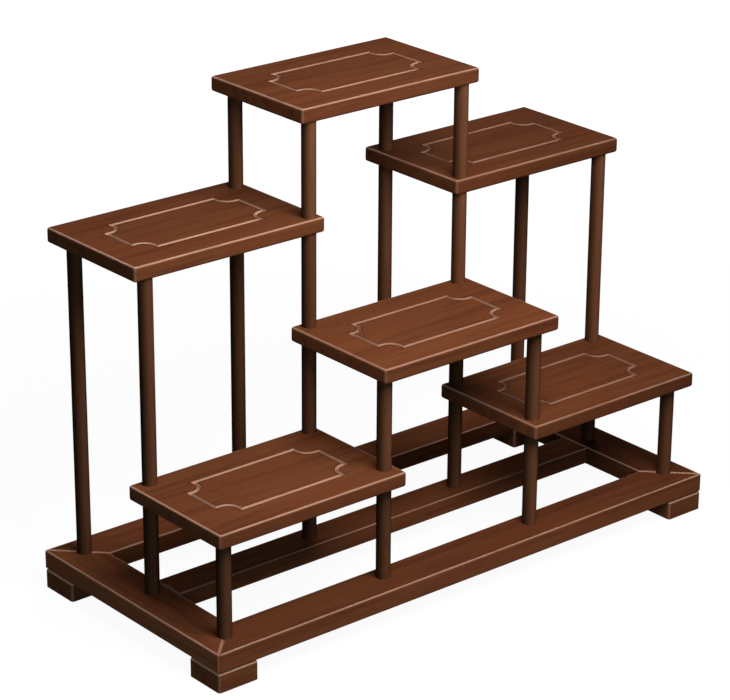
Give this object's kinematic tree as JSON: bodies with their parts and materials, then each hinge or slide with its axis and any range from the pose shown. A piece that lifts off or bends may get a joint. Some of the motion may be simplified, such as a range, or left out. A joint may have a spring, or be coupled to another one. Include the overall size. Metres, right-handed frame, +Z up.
{
  "type": "tiered display shelf",
  "caption": "Stepped wooden display stand: routed rectangular boards at staggered heights on round posts, over a mitred base frame with square feet.",
  "frame": {"origin": "on the floor, under the centre of the base frame", "axes": "+X along the stand to the right as seen from the front, +Y to the back, +Z up"},
  "size_m": [0.435, 0.195, 0.3353],
  "materials": {
    "shelf_wood": "satin lacquer",
    "post_wood": "satin lacquer",
    "frame_wood": "satin lacquer",
    "spline_wood": "bare",
    "fastener_steel": "plain"
  },
  "bodies": {
    "root": {"back_left_foot": "frame_wood", "back_left_mitre_spline": "spline_wood", "back_rail": "frame_wood", "back_right_foot": "frame_wood", "back_right_mitre_spline": "spline_wood", "blind_studs": "fastener_steel", "centre_post_back_left": "post_wood", "centre_post_back_right": "post_wood", "centre_post_front_left": "post_wood", "centre_post_front_right": "post_wood", "centre_shelf": "shelf_wood", "corner_bolts": "fastener_steel", "front_left_foot": "frame_wood", "front_left_mitre_spline": "spline_wood", "front_rail": "frame_wood", "front_right_foot": "frame_wood", "front_right_mitre_spline": "spline_wood", "left_rail": "frame_wood", "lower_left_post_back_left": "post_wood", "lower_left_post_back_right": "post_wood", "lower_left_post_front_left": "post_wood", "lower_left_post_front_right": "post_wood", "lower_left_shelf": "shelf_wood", "lower_right_post_back_left": "post_wood", "lower_right_post_back_right": "post_wood", "lower_right_post_front_left": "post_wood", "lower_right_post_front_right": "post_wood", "lower_right_shelf": "shelf_wood", "middle_rail": "frame_wood", "rail_bolts": "fastener_steel", "right_rail": "frame_wood", "through_studs": "fastener_steel", "top_post_back_left": "post_wood", "top_post_back_right": "post_wood", "top_post_front_left": "post_wood", "top_post_front_right": "post_wood", "top_shelf": "shelf_wood", "upper_left_post_back_left": "post_wood", "upper_left_post_back_right": "post_wood", "upper_left_post_front_left": "post_wood", "upper_left_post_front_right": "post_wood", "upper_left_shelf": "shelf_wood", "upper_right_post_back_left": "post_wood", "upper_right_post_back_right": "post_wood", "upper_right_post_front_left": "post_wood", "upper_right_post_front_right": "post_wood", "upper_right_shelf": "shelf_wood"}
  },
  "joints": []
}
